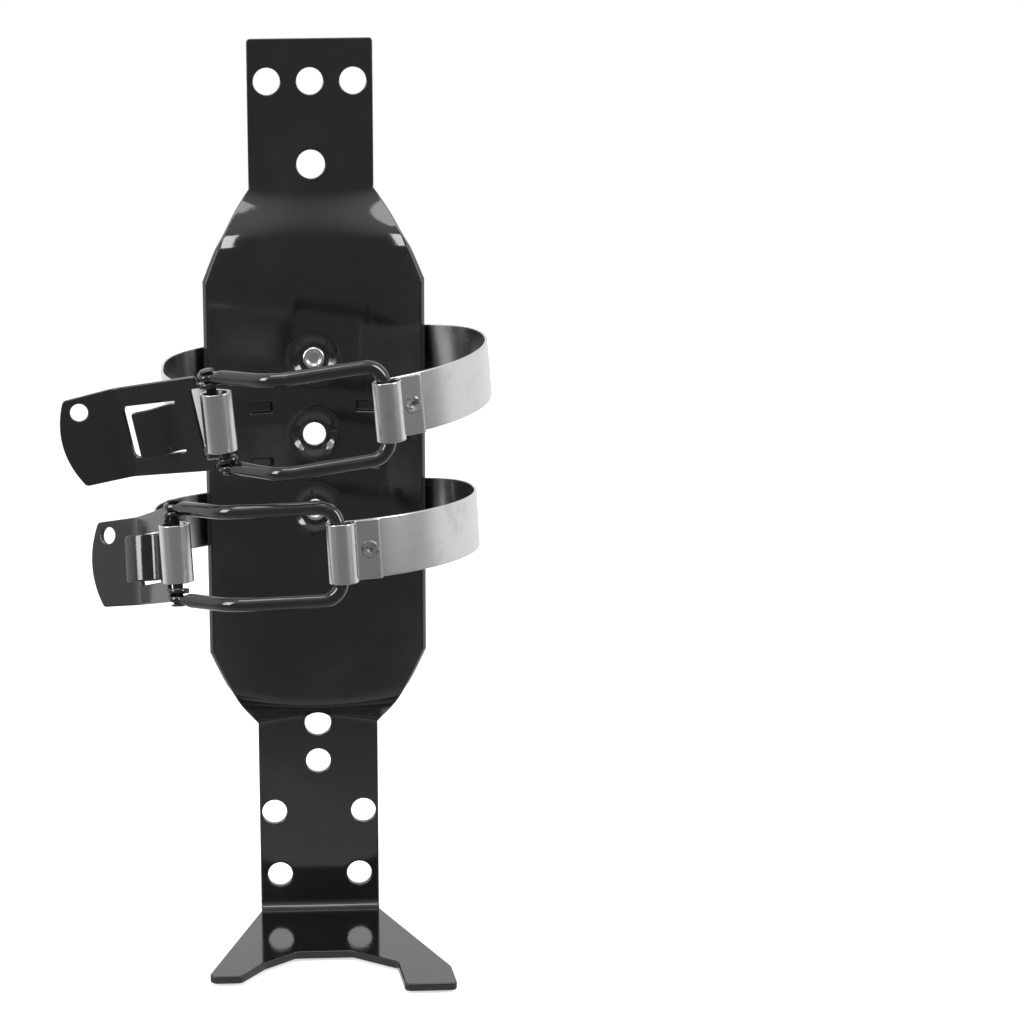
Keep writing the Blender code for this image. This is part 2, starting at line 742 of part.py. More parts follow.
def wire_mesh(name, points):
    """A round wire along points, as one closed mesh."""
    curve = bpy.data.curves.new(name, "CURVE")
    curve.dimensions = "3D"
    curve.bevel_depth = WIRE
    curve.bevel_resolution = 3
    curve.use_fill_caps = True
    line = curve.splines.new("POLY")
    line.points.add(len(points) - 1)
    for spot, point in zip(line.points, points):
        spot.co = (*point, 1)
    holder = bpy.data.objects.new(name + "_curve", curve)
    bpy.context.scene.collection.objects.link(holder)
    bpy.context.view_layer.update()
    mesh = bpy.data.meshes.new_from_object(holder.evaluated_get(bpy.context.evaluated_depsgraph_get()))
    shape = bmesh.new()
    shape.from_mesh(mesh)
    bmesh.ops.remove_doubles(shape, verts=shape.verts, dist=0.00001)
    bmesh.ops.recalc_face_normals(shape, faces=shape.faces)
    shape.to_mesh(mesh)
    shape.free()
    bpy.data.objects.remove(holder, do_unlink=True)
    return mesh


def build_bail(ring, parts, cutters):
    """The wire, cut flat on both sides at its ends, with a pierced eye joined on."""
    name = ring["name"] + "_bail"
    bail = make_object(name, wire_mesh(name, bail_points(ring)), parts, "paint")
    place(bail, ring_matrix(ring))
    flat = EYE_RADIUS + 0.5 * MM
    low = EYE_LOW + EYE_PROUD
    high = EYE_HIGH - EYE_PROUD
    for side, label in ((1, "top"), (-1, "bottom")):
        steps = [
            ("relief", flat, 0, low, "DIFFERENCE"), ("trim", flat, high, high + OVERSHOOT, "DIFFERENCE"),
            ("eye", EYE_RADIUS, EYE_LOW, EYE_HIGH, "UNION"),
            ("bore", PIN + GAP, EYE_LOW - OVERSHOOT, EYE_HIGH + OVERSHOOT, "DIFFERENCE"),
        ]
        for kind, radius, first, last, operation in steps:
            start, end = sorted((side * first, side * last))
            tool = make_object(f"{name}_{label}_{kind}", cylinder_mesh(name, radius, start, end), cutters)
            place(tool, latch_matrix(ring))
            combine(bail, tool, operation)
    smooth_round(bail)
    return bail


def lever_corners(side):
    """Outline corners above (1) or below (-1) the middle, from the notch out to the tip."""
    set_in = 0 if side > 0 else 0.8 * MM
    end = LEVER_MAIN + LEVER_TIP - TIP_BULGE - set_in
    return [
        (NOTCH, side * KNUCKLE_LOW, 1 * MM), (0, side * KNUCKLE_LOW, 0), (0, side * KNUCKLE_HIGH, 0),
        (EAR_START, side * KNUCKLE_HIGH, 0), (EAR_START, side * LEVER_ROOT_HALF, 1 * MM),
        (end, side * LEVER_TIP_HALF, 1.5 * MM),
    ]


def lever_outline():
    """Edge of the lever's flat blank, with its bulging tip."""
    upper, lower = lever_corners(1), lever_corners(-1)
    start, end = Vector(upper[-1][:2]), Vector(lower[-1][:2])
    tip = []
    for step in range(1, 10):
        t = step / 10
        spot = start.lerp(end, t)
        tip.append((spot.x + TIP_BULGE * 4 * t * (1 - t), spot.y, 0))
    return fillet(upper + tip + list(reversed(lower)), 4)


def tongue_loop():
    """The slot cut round three sides of the tongue."""
    half = WINDOW_HALF - TONGUE_SLOT
    free = WINDOW_END - TONGUE_MOUTH
    return fillet([
        (WINDOW_START, WINDOW_HALF, 0), (WINDOW_END, WINDOW_HALF, 1.6 * MM),
        (WINDOW_END, -WINDOW_HALF, 1.6 * MM), (WINDOW_START, -WINDOW_HALF, 0), (WINDOW_START, -half, 0),
        (free, -half, 1 * MM), (free, half, 1 * MM), (WINDOW_START, half, 0),
    ], 4)


def in_tongue(point):
    slack = 0.1 * MM
    free = WINDOW_END - TONGUE_MOUTH + slack
    return WINDOW_START <= point.x < free and abs(point.y) < WINDOW_HALF - TONGUE_SLOT + slack


def in_bend(along):
    arc = LEVER_BEND_RADIUS * math.radians(LEVER_BEND) / 2
    return abs(along - LEVER_MAIN) < arc + 0.5 * MM


def lever_spacing(point):
    if in_bend(point.x) or in_tongue(point):
        return 1.1 * MM
    return 8 * MM


def lever_inner(outline, loops):
    """Rows of inner points through the bend and the tongue."""
    points = []
    rows = [WINDOW_START + 1.1 * MM * step for step in range(24)]
    for along in rows:
        for step in range(-5, 6):
            point = Vector((along, step * 2.2 * MM))
            bending = in_bend(along) or in_tongue(point)
            if not bending or not inside(point, outline) or near_edge(point, outline, 0.6 * MM):
                continue
            if any(inside(point, loop) or near_edge(point, loop, 0.6 * MM) for loop in loops):
                continue
            points.append(point)
    return points


def arc_run(length, radius, degrees):
    """Place (along, out) after a length of sheet that first bends through an angle, then runs straight."""
    full = math.radians(degrees)
    angle = min(length / radius, full)
    rest = max(length - radius * full, 0)
    spot = Vector((radius * math.sin(angle), radius * (1 - math.cos(angle))))
    return spot + Vector((math.cos(full), math.sin(full))) * rest


def tongue_place(length):
    """Place (along, out) on the tongue: it turns out of the sheet, then slowly levels."""
    rise = arc_run(length, TONGUE_RADIUS, TONGUE_CURL)
    lifted = TONGUE_RADIUS * math.radians(TONGUE_CURL)
    if length <= lifted:
        return rise
    spot = arc_run(lifted, TONGUE_RADIUS, TONGUE_CURL)
    steps = 12
    for step in range(steps):
        part = (length - lifted) * (step + 0.5) / steps
        angle = math.radians(TONGUE_CURL) * max(0, 1 - part / TONGUE_LEVEL * 1.6)
        spot += Vector((math.cos(angle), math.sin(angle))) * (length - lifted) / steps
    return spot


def lever_form(point):
    """Where a point of the lever's flat blank lies: X along, Y out of the loop, Z up."""
    along, height = point
    if in_tongue(point):
        spot = tongue_place(along - WINDOW_START)
        return Vector((WINDOW_START + spot.x, spot.y, height))
    arc = LEVER_BEND_RADIUS * math.radians(LEVER_BEND)
    past = along - (LEVER_MAIN - arc / 2)
    if past <= 0:
        return Vector((along, 0, height))
    spot = arc_run(past, LEVER_BEND_RADIUS, LEVER_BEND)
    return Vector((LEVER_MAIN - arc / 2 + spot.x, spot.y, height))


def build_lever(ring, parts, cutters):
    """A pressed lever: its blank with window, tongue and hole, and two knuckles round the pin."""
    name = ring["name"] + "_lever"
    outline = split_edges(lever_outline(), lever_spacing)
    loops = [split_edges(tongue_loop(), lever_spacing),
             ring_points(LEVER_HOLE_PLACE, LEVER_HOLE_HEIGHT, LEVER_HOLE, 20)]
    mesh = blank_mesh(name, [outline] + loops, lever_inner(outline, loops), lever_form)
    lever = make_object(name, mesh, parts, "paint")
    thicken(lever, LEVER_SHEET)
    turn = latch_matrix(ring) @ Matrix.Rotation(math.pi - math.radians(ring["lever"]), 4, "Z")
    place(lever, turn)
    barrel = PIN + GAP + LEVER_SHEET
    trim = 0.05 * MM
    for side, label in ((1, "top"), (-1, "bottom")):
        low, high = sorted((side * (KNUCKLE_LOW + trim), side * (KNUCKLE_HIGH - trim)))
        knuckle = make_object(f"{name}_{label}_knuckle", cylinder_mesh(name, barrel, low, high, 24), cutters)
        bore_mesh = cylinder_mesh(name, PIN + GAP, low - OVERSHOOT, high + OVERSHOOT, 24)
        bore = make_object(f"{name}_{label}_bore", bore_mesh, cutters)
        for tool, operation in ((knuckle, "UNION"), (bore, "DIFFERENCE")):
            place(tool, turn)
            combine(lever, tool, operation)
    smooth_round(lever)
    return lever


def build():
    clear_scene()
    parts = make_collection("fire_extinguisher_bracket")
    cutters = make_collection("cutters")
    build_plate(parts, cutters)
    for ring in (UPPER, LOWER):
        build_band(ring, parts, cutters)
        build_rivet(ring, parts)
        build_pin(ring, parts)
        build_bail(ring, parts, cutters)
        build_lever(ring, parts, cutters)


build()
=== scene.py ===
import json
import math

import bpy
import numpy as np
from mathutils import Matrix, Vector
from mathutils.geometry import delaunay_2d_cdt


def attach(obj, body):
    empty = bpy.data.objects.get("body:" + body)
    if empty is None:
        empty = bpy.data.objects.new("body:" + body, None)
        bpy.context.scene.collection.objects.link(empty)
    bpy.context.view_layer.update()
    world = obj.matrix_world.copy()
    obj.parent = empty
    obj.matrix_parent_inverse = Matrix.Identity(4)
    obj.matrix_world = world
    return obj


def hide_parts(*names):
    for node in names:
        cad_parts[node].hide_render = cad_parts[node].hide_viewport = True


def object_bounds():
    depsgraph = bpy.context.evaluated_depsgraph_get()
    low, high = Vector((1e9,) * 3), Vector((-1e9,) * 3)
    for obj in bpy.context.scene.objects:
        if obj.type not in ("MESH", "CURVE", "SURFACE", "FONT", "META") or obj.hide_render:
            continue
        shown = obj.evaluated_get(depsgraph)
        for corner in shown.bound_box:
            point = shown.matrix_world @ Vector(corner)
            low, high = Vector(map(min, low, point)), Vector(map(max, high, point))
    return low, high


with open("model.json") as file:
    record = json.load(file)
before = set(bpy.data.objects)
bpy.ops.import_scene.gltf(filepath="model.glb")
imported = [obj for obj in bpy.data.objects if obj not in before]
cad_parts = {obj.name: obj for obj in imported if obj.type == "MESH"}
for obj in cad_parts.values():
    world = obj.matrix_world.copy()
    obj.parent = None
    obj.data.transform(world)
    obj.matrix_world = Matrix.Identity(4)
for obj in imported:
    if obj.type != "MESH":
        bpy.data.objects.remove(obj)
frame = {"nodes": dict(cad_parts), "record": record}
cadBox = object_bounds()
mm = 0.001
print("frame loaded:", len(frame["nodes"]), "nodes")


# shader maths: a number field adds Math nodes as it is worked with
class Field:
    def __init__(self, finish, socket):
        self.finish = finish
        self.socket = socket

    def maths(self, operation, *values):
        inputs = dict(enumerate(values))
        return self.finish.add("ShaderNodeMath", {"operation": operation}, inputs)

    def __add__(self, other):
        return self.maths("ADD", self, other)

    def __radd__(self, other):
        return self.maths("ADD", other, self)

    def __sub__(self, other):
        return self.maths("SUBTRACT", self, other)

    def __rsub__(self, other):
        return self.maths("SUBTRACT", other, self)

    def __mul__(self, other):
        return self.maths("MULTIPLY", self, other)

    def __rmul__(self, other):
        return self.maths("MULTIPLY", other, self)

    # 0 below low, 1 above high, with a soft step between; high under low turns it round
    def step(self, low, high):
        settings = {"interpolation_type": "SMOOTHSTEP"}
        inputs = {"Value": self, "From Min": low, "From Max": high}
        return self.finish.add("ShaderNodeMapRange", settings, inputs)


# one node material, or a world, and the nodes added to it
class Finish:
    def __init__(self, name, holder=None):
        self.material = holder or bpy.data.materials.new(name)
        self.material.use_nodes = True
        self.tree = self.material.node_tree
        self.shader = self.tree.nodes.get("Principled BSDF")
        self.output = next(node for node in self.tree.nodes if "OUTPUT" in node.type)

    def add(self, kind, settings, inputs, output=0):
        node = self.tree.nodes.new(kind)
        for key, value in settings.items():
            setattr(node, key, value)
        for key, value in inputs.items():
            self.feed(node.inputs[key], value)
        return Field(self, node.outputs[output])

    def feed(self, socket, value):
        if isinstance(value, Field):
            self.tree.links.new(value.socket, socket)
        elif socket.type == "RGBA" and len(value) == 3:
            socket.default_value = (*value, 1)
        else:
            socket.default_value = value

    def set(self, **values):
        for key, value in values.items():
            self.feed(self.shader.inputs[key.replace("_", " ")], value)

    def place(self):
        return self.add("ShaderNodeTexCoord", {}, {}, "Object")

    def stretched(self, scale):
        return self.add("ShaderNodeMapping", {}, {"Vector": self.place(), "Scale": scale})

    def noise(self, where, scale, detail=3.0, rough=0.5):
        inputs = {"Vector": where, "Scale": scale, "Detail": detail, "Roughness": rough}
        return self.add("ShaderNodeTexNoise", {}, inputs, "Fac")

    def blend(self, amount, first, second):
        settings = {"data_type": "RGBA", "clamp_factor": True}
        inputs = {0: amount, 6: first, 7: second}
        return self.add("ShaderNodeMix", settings, inputs, 2)

    def bump(self, height, strength, distance):
        inputs = {"Height": height, "Strength": strength, "Distance": distance}
        self.set(Normal=self.add("ShaderNodeBump", {}, inputs))


# gloss black paint: slight orange peel, a breath of dust in soft clouds, fine specks
blackPaint = {
    "plate": dict(colour=(0.006, 0.006, 0.0065), dust=(0.03, 0.03, 0.031), gloss=0.08, peel=330,
                  depth=0.035),
    "wire": dict(colour=(0.007, 0.007, 0.0075), dust=(0.05, 0.05, 0.052), gloss=0.1, peel=520,
                 depth=0.06),
    "lever": dict(colour=(0.007, 0.007, 0.0075), dust=(0.035, 0.035, 0.036), gloss=0.1, peel=430,
                  depth=0.05),
    "pin": dict(colour=(0.012, 0.012, 0.013), dust=(0.08, 0.08, 0.08), gloss=0.26, peel=700,
                depth=0.08)}
paintCoat = dict(clouds=38.0, specks=1900.0, shine=0.72, peelHigh=0.4)  # what all four share


def paintFinish(name):
    look = blackPaint[name]
    paint = Finish(name + "Paint")
    where = paint.place()
    clouds = paint.noise(where, paintCoat["clouds"], 4.0, 0.6).step(0.48, 0.78)
    specks = paint.noise(where, paintCoat["specks"], 1.0).step(0.74, 0.8)
    peel = paint.noise(where, look["peel"], 2.0)
    paint.set(Base_Color=paint.blend(clouds * 0.22 + specks * 0.3, look["colour"], look["dust"]))
    paint.set(Roughness=look["gloss"] + clouds * 0.07 + specks * 0.2)
    paint.set(Specular_IOR_Level=paintCoat["shine"])
    paint.bump(peel + specks * 0.5, look["depth"], paintCoat["peelHigh"] * mm)
    return paint.material


# satin stainless strip: the grain runs round the loop, so it is stretched level; patches of handling
# marks dull it
bandSteel = dict(colour=(0.64, 0.64, 0.635), dull=(0.4, 0.4, 0.395), gloss=0.2, grain=(60, 60, 2600),
                 marks=85.0, depth=0.05, grainHigh=0.02)


def bandFinish():
    steel = Finish("bandSteel")
    grain = steel.noise(steel.stretched(bandSteel["grain"]), 1.0, 4.0, 0.7)
    marks = steel.noise(steel.place(), bandSteel["marks"], 5.0, 0.65).step(0.5, 0.72)
    steel.set(Base_Color=steel.blend(marks * 0.4 + grain * 0.2, bandSteel["colour"], bandSteel["dull"]))
    steel.set(Roughness=bandSteel["gloss"] + grain * 0.07 + marks * 0.06)
    steel.set(Metallic=1.0)
    steel.bump(grain, bandSteel["depth"], bandSteel["grainHigh"] * mm)
    return steel.material


# rivet: plain metal with fine pits
rivetSteel = dict(colour=(0.56, 0.56, 0.55), dull=(0.3, 0.3, 0.295), gloss=0.3, pits=900.0)


def rivetFinish():
    steel = Finish("rivetSteel")
    pits = steel.noise(steel.place(), rivetSteel["pits"], 3.0, 0.6).step(0.52, 0.74)
    steel.set(Base_Color=steel.blend(pits * 0.6, rivetSteel["colour"], rivetSteel["dull"]))
    steel.set(Roughness=rivetSteel["gloss"] + pits * 0.15)
    steel.set(Metallic=1.0)
    steel.bump(1 - pits, 0.25, 0.1 * mm)
    return steel.material


# weld: scorched grey, rougher and darker in spots
weldSteel = dict(colour=(0.4, 0.4, 0.395), dull=(0.06, 0.06, 0.058), gloss=0.4, scorch=620.0)


def weldFinish():
    steel = Finish("weldSteel")
    scorch = steel.noise(steel.place(), weldSteel["scorch"], 4.0, 0.65).step(0.42, 0.6)
    steel.set(Base_Color=steel.blend(scorch * 0.8, weldSteel["colour"], weldSteel["dull"]))
    steel.set(Roughness=weldSteel["gloss"] + scorch * 0.2)
    steel.set(Metallic=1.0)
    steel.bump(scorch, 0.5, 0.1 * mm)
    return steel.material


finishes = {"plate_paint": paintFinish("plate"), "band_steel": bandFinish(), "rivet_steel": rivetFinish(),
            "wire_finish": paintFinish("wire"), "lever_finish": paintFinish("lever"),
            "pin_finish": paintFinish("pin")}
for part in frame["record"]["subparts"]:
    node = frame["nodes"][part["node"]]
    node.data.materials.clear()
    node.data.materials.append(finishes[part["material_slot"]])
print("finishes made:", len(finishes))


# shapes are worked out in millimetres in the CAD's frame: X right, Y into the wall, Z up
# holes are (height, radius) on the middle line, or (half their spacing, height, radius); a stop is (place
# across, width, height, depth); the fork's corners are (across, out from the bend, radius)
plate = dict(sheet=2.5, rim=0.4, grid=1.15, radius=61.25, standoff=4.5, tabTop=27, tabHalf=20.2,
             tabEnd=-20.8, bodyHalf=34.9, bodyTop=-49, bodyEnd=-170.3, neckHalf=20, neckTop=-198.2,
             footTop=-263, bendInner=2.5, bendGrid=0.6, corner=1.3, bulge=1.1, upperStart=-19,
             upperBlend=20, lowerEnd=-196.4, lowerBlend=6.5, fan=0.0085, drop=0.0070,
             dimple=(1.6, 4.8, 8.6), stop=(17.5, 7.4, 3.8, 1.7), stopGaps=(4.9, 5.5), stopEdge=0.5,
             stopGrid=0.27, tabRow=(13.85, 13.5, 4.3), tabHole=(-12.9, 4.6), middleHole=(-100.2, 3.75),
             neckHoles=((-198.5, 4.4), (-211.7, 4.15)),
             neckPairs=((15, -229.3, 4.15), (13.4, -251.3, 4.15)),
             forkRoot=5, fork=((-37.6, 66, 2.5), (-26.8, 66, 2), (-19.3, 54.5, 3), (-9.3, 45.5, 2),
                               (9, 45.5, 2), (22.8, 56.5, 2), (24, 76, 2), (40.3, 76, 2), (39.6, 61, 3)))
upper = dict(name="upper", high=-75.2, turn=5, droop=3.3, shift=2.5, left=37.6, right=16.7, lever=30,
             lean=7, pitch=0)
lower = dict(name="lower", high=-125.2, turn=3, droop=-2.6, shift=-0.8, left=51.8, right=6, lever=68,
             lean=-1, pitch=12)
band = dict(thick=0.8, high=17.4, halfWidth=50.1, halfDepth=57, widest=45, pull=0.4, leftRoll=4.3,
            rightRoll=3.85, lap=6.7, lapFillet=1.5, seam=60, gap=0.3, corner=0.22, grid=0.7)
rivet = dict(shank=2.4, head=3.7, tail=4, headHigh=1.1, tailHigh=0.9, bore=2)
bail = dict(wire=2.1, half=13.6, corner=5.5, short=24.5, long=33.5, kink=5, eye=3.2, eyeLow=12.5,
            eyeHigh=14.9)
pin = dict(radius=1.5, head=2.3, headHigh=0.8)
lever = dict(sheet=1.5, rim=0.3, grid=0.8, rootHalf=14.3, tipHalf=13.3, main=33.5, tip=18.8, bend=33,
             bendRadius=7, bulge=3.6, knuckle=(10.65, 12.15), notch=7, ear=4.2, window=(13, 31.5, 7.8), slot=0.7,
             mouth=4.6, curl=62, curlRadius=4.5, level=15, hole=(44.8, 8.9, 2.65))


def unit(vectors):
    return vectors / np.linalg.norm(vectors, axis=-1, keepdims=True)


def softStep(value):
    return 0.5 - 0.5 * np.cos(np.pi * np.clip(value, 0, 1))


def spun(axis, degrees):
    return np.array(Matrix.Rotation(math.radians(degrees), 4, axis))


def shifted(x, y, z):
    return np.array(Matrix.Translation((x, y, z)))


def placed(points, matrix):
    return points @ matrix[:3, :3].T + matrix[:3, 3]


# six times the volume inside the faces, each face cut into a fan of triangles
def volume(points, groups):
    total = 0
    for group in groups:
        for step in range(1, group.shape[1] - 1):
            a, b, c = points[group[:, 0]], points[group[:, step]], points[group[:, step + 1]]
            total += np.einsum("ij,ij->i", a, np.cross(b, c)).sum()
    return total


def joined(shapes):
    points, groups, start = [], [], 0
    for spots, faces in shapes:
        points.append(spots)
        groups += [group + start for group in faces]
        start += len(spots)
    return np.concatenate(points), groups


def addPiece(name, shape, slotName, body, *nodes, finish=None):
    points, groups = shape
    corners = np.concatenate([group.ravel() for group in groups])
    counts = np.concatenate([np.full(len(group), group.shape[1]) for group in groups])
    used, corners = np.unique(corners, return_inverse=True)
    mesh = bpy.data.meshes.new(name)
    mesh.vertices.add(len(used))
    mesh.vertices.foreach_set("co", (points[used] * mm).astype(np.float32).ravel())
    mesh.loops.add(len(corners))
    mesh.loops.foreach_set("vertex_index", corners.astype(np.int32).ravel())
    mesh.polygons.add(len(counts))
    mesh.polygons.foreach_set("loop_start", np.append(0, np.cumsum(counts)[:-1]).astype(np.int32))
    mesh.update(calc_edges=True)
    mesh.shade_smooth()
    mesh.materials.append(finish or finishes[slotName])
    piece = bpy.data.objects.new(name, mesh)
    bpy.context.scene.collection.objects.link(piece)
    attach(piece, body)
    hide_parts(*nodes)
    print(name, len(mesh.polygons), "faces")


# faces of a grid of rows whose columns close round; the two end rows are capped
def tubeFaces(rows, columns, caps=True):
    index = np.arange(rows * columns).reshape(rows, columns)
    beside = np.roll(index, -1, axis=1)
    walls = np.stack([index[:-1], beside[:-1], beside[1:], index[1:]], axis=-1).reshape(-1, 4)
    ends = [index[:1, ::-1], index[-1:]] if caps else []
    return [walls] + ends


def outward(points, groups):
    if volume(points, groups) < 0:
        groups = [group[:, ::-1] for group in groups]
    return points, groups


# profile of (radius, height) turned about Z: x = radius cos t, y = radius sin t
def turnedShape(profile, matrix, steps=56, closed=False):
    profile = np.array(profile, float)
    turn = np.linspace(0, 2 * np.pi, steps, endpoint=False)
    around = np.stack([np.cos(turn), np.sin(turn), np.zeros(steps)], axis=-1)
    points = profile[:, None, :1] * around[None] + profile[:, None, 1:] * np.array([0, 0, 1.0])
    groups = tubeFaces(len(profile), steps, not closed)
    if closed:
        last = np.arange((len(profile) - 1) * steps, len(profile) * steps)
        first = np.arange(steps)
        groups.append(np.stack([last, np.roll(last, -1), np.roll(first, -1), first], axis=-1))
    return outward(placed(points.reshape(-1, 3), matrix), groups)


# corners (x, y, radius) as a loop with each corner swapped for an arc
def roundedLoop(corners, steps=7):
    loop = []
    for index, (x, y, radius) in enumerate(corners):
        corner = Vector((x, y))
        before = (Vector(corners[index - 1][:2]) - corner).normalized()
        after = (Vector(corners[(index + 1) % len(corners)][:2]) - corner).normalized()
        if radius <= 0:
            loop.append(corner)
            continue
        half = before.angle(after) / 2
        centre = corner + (before + after).normalized() * radius / math.sin(half)
        first = corner + before * radius / math.tan(half) - centre
        sweep = first.angle_signed(corner + after * radius / math.tan(half) - centre)
        loop += [centre + Matrix.Rotation(-sweep * step / steps, 2) @ first for step in range(steps + 1)]
    return np.array(loop)


# long edges cut into even pieces no longer than a spacing
def splitLoop(loop, spacing):
    following = np.roll(loop, -1, axis=0)
    lengths = np.linalg.norm(following - loop, axis=1)
    pieces = np.maximum(1, np.ceil(lengths / spacing - 0.01)).astype(int)
    owner = np.repeat(np.arange(len(loop)), pieces)
    order = np.arange(len(owner)) - np.repeat(np.cumsum(pieces) - pieces, pieces)
    share = (order / pieces[owner])[:, None]
    return loop[owner] * (1 - share) + following[owner] * share


# the way out of the sheet at each point of a loop; a loop round a hole runs clockwise
def wayOut(loop):
    before = unit(loop - np.roll(loop, 1, axis=0))
    after = unit(np.roll(loop, -1, axis=0) - loop)
    along = unit(before + after)
    stretch = 1 / np.maximum(np.einsum("ij,ij->i", along, after), 0.5)
    return np.stack([along[:, 1], -along[:, 0]], axis=1) * stretch[:, None]


def signedArea(loop):
    following = np.roll(loop, -1, axis=0)
    return (loop[:, 0] * following[:, 1] - following[:, 0] * loop[:, 1]).sum()


def facing(loop, sign):
    return loop if signedArea(loop) * sign > 0 else loop[::-1]


def circle(x, y, radius, steps=56):
    turn = np.linspace(0, 2 * np.pi, steps, endpoint=False)
    return np.stack([x + radius * np.cos(turn), y + radius * np.sin(turn)], axis=1)


# normal of a formed sheet: across x along, each a small difference of the forming function
def sheetNormal(form, spots):
    small = 0.01
    across = form(spots + [small, 0]) - form(spots - [small, 0])
    along = form(spots + [0, small]) - form(spots - [0, small])
    return unit(np.cross(across, along))


# a flat blank cut by loops, bent by form(x, y), with both faces at half the thickness along its normal
# and a rounded rim carried round every loop: out = rim sin t, level = half - rim + rim cos t
def pressedSheet(edge, holes, inner, form, look, pressed=None):
    half, rim = look["sheet"] / 2, look["rim"]
    sunk = pressed or (lambda spots: np.zeros(len(spots)))
    loops = [splitLoop(facing(edge, 1), look["grid"])]
    loops += [splitLoop(facing(hole, -1), look["grid"]) for hole in holes]
    ways = [wayOut(loop) for loop in loops]
    insets = [loop - way * rim for loop, way in zip(loops, ways)]
    guards = [loop - way * (rim + 0.25) for loop, way in zip(loops, ways)]
    guard = np.concatenate(guards)
    away = np.concatenate([np.linalg.norm(part[:, None] - guard[None], axis=2).min(axis=1)
                           for part in np.array_split(inner, 24)])
    flat = np.concatenate(insets + [guard, inner[away > look["grid"] * 0.6]])
    starts = np.cumsum([0] + [len(loop) for loop in insets])
    cuts = [list(range(a, b)) for a, b in zip(starts[:-1], starts[1:])]
    spots, _, tris = delaunay_2d_cdt([Vector(spot) for spot in flat], [], cuts, 2, 1e-6)[:3]
    spots, tris = np.array(spots), np.array(tris)
    count = len(spots)
    middle, normal = form(spots), sheetNormal(form, spots)
    level = sunk(spots)[:, None]
    points = [middle + normal * (half - level), middle - normal * (half + level)]
    groups = [tris, tris[:, ::-1] + count]
    turn = np.radians([22.5, 45, 67.5, 90])
    outs = np.concatenate([np.sin(turn), np.sin(turn)[::-1]]) * rim
    levels = np.concatenate([half - rim + rim * np.cos(turn), -(half - rim + rim * np.cos(turn))[::-1]])
    total = 2 * count
    for loop, way, start in zip(insets, ways, starts):
        rows = [np.arange(start, start + len(loop))]
        for out, rise in zip(outs, levels):
            rimSpots = loop + way * out
            points.append(form(rimSpots) + sheetNormal(form, rimSpots) * rise)
            rows.append(np.arange(total, total + len(loop)))
            total += len(loop)
        rows.append(rows[0] + count)
        rows = np.array(rows)
        beside = np.roll(rows, -1, axis=1)
        groups.append(np.stack([rows[:-1], rows[1:], beside[1:], beside[:-1]], axis=-1).reshape(-1, 4))
    return np.concatenate(points), groups


def staggered(low, high, spacing):
    rows = np.arange(low[1], high[1], spacing * 0.87)
    columns = np.arange(low[0], high[0], spacing)
    x, y = np.meshgrid(columns, rows)
    x = x + (np.arange(len(rows)) % 2)[:, None] * spacing / 2
    return np.stack([x.ravel(), y.ravel()], axis=1)


def bendStart():
    return plate["footTop"] + plate["bendInner"]


def bendRadius():
    return plate["bendInner"] + plate["sheet"] / 2


# the pressed plate: the reach from the wall goes from flat to the cradle's arc by soft steps, less the
# dimples; under the bend it follows a quarter circle and then runs straight out as the foot
def formPlate(spots):
    x, high = spots[:, 0], spots[:, 1]
    flat = plate["sheet"] / 2
    cradle = plate["standoff"] + flat + plate["radius"] - np.sqrt(plate["radius"] ** 2 - x ** 2)
    low = plate["lowerEnd"] - plate["drop"] * x ** 2
    top = plate["lowerEnd"] + plate["lowerBlend"] + plate["fan"] * x ** 2
    share = softStep((plate["upperStart"] - high) / plate["upperBlend"])
    share = share * softStep((high - low) / (top - low))
    depth, floor, rim = plate["dimple"]
    reach = flat + share * (cradle - flat)
    for centre in (upper["high"], plate["middleHole"][0], lower["high"]):
        reach = reach - depth * softStep((rim - np.hypot(x, high - centre)) / (rim - floor))
    past = bendStart() - high
    angle = np.clip(past / bendRadius(), 0, np.pi / 2)
    straight = np.maximum(past - bendRadius() * np.pi / 2, 0)
    folded = flat + bendRadius() * (1 - np.cos(angle)) + straight
    height = np.where(past > 0, bendStart() - bendRadius() * np.sin(angle), high)
    return np.stack([x, -np.where(past > 0, folded, reach), height], axis=1)


def stopSpots():
    side, _, high, _ = plate["stop"]
    above, below = plate["stopGaps"]
    half = band["high"] / 2
    rows = (upper["high"] - half - above - high / 2, lower["high"] + half + below + high / 2)
    return [(sign * side, row) for sign in (-1, 1) for row in rows]


# depth of the four stops that are pressed back: a steep walled box each, soft only at its edge
def stopDepth(spots):
    _, width, high, depth = plate["stop"]
    total = np.zeros(len(spots))
    for x, row in stopSpots():
        inX = (width / 2 - np.abs(spots[:, 0] - x)) / plate["stopEdge"]
        inRow = (high / 2 - np.abs(spots[:, 1] - row)) / plate["stopEdge"]
        total += depth * softStep(np.minimum(inX, inRow))
    return total


# a slanted side with a slight belly: start + (end - start) t + way out * bulge sin(pi t)
def bulged(start, end, steps=12):
    share = np.arange(steps)[:, None] / steps
    start, end = np.array(start, float), np.array(end, float)
    way = unit(np.array([end[1] - start[1], start[0] - end[0]]))
    way = way if way[0] > 0 else -way
    return start + (end - start) * share + way * plate["bulge"] * np.sin(np.pi * share)


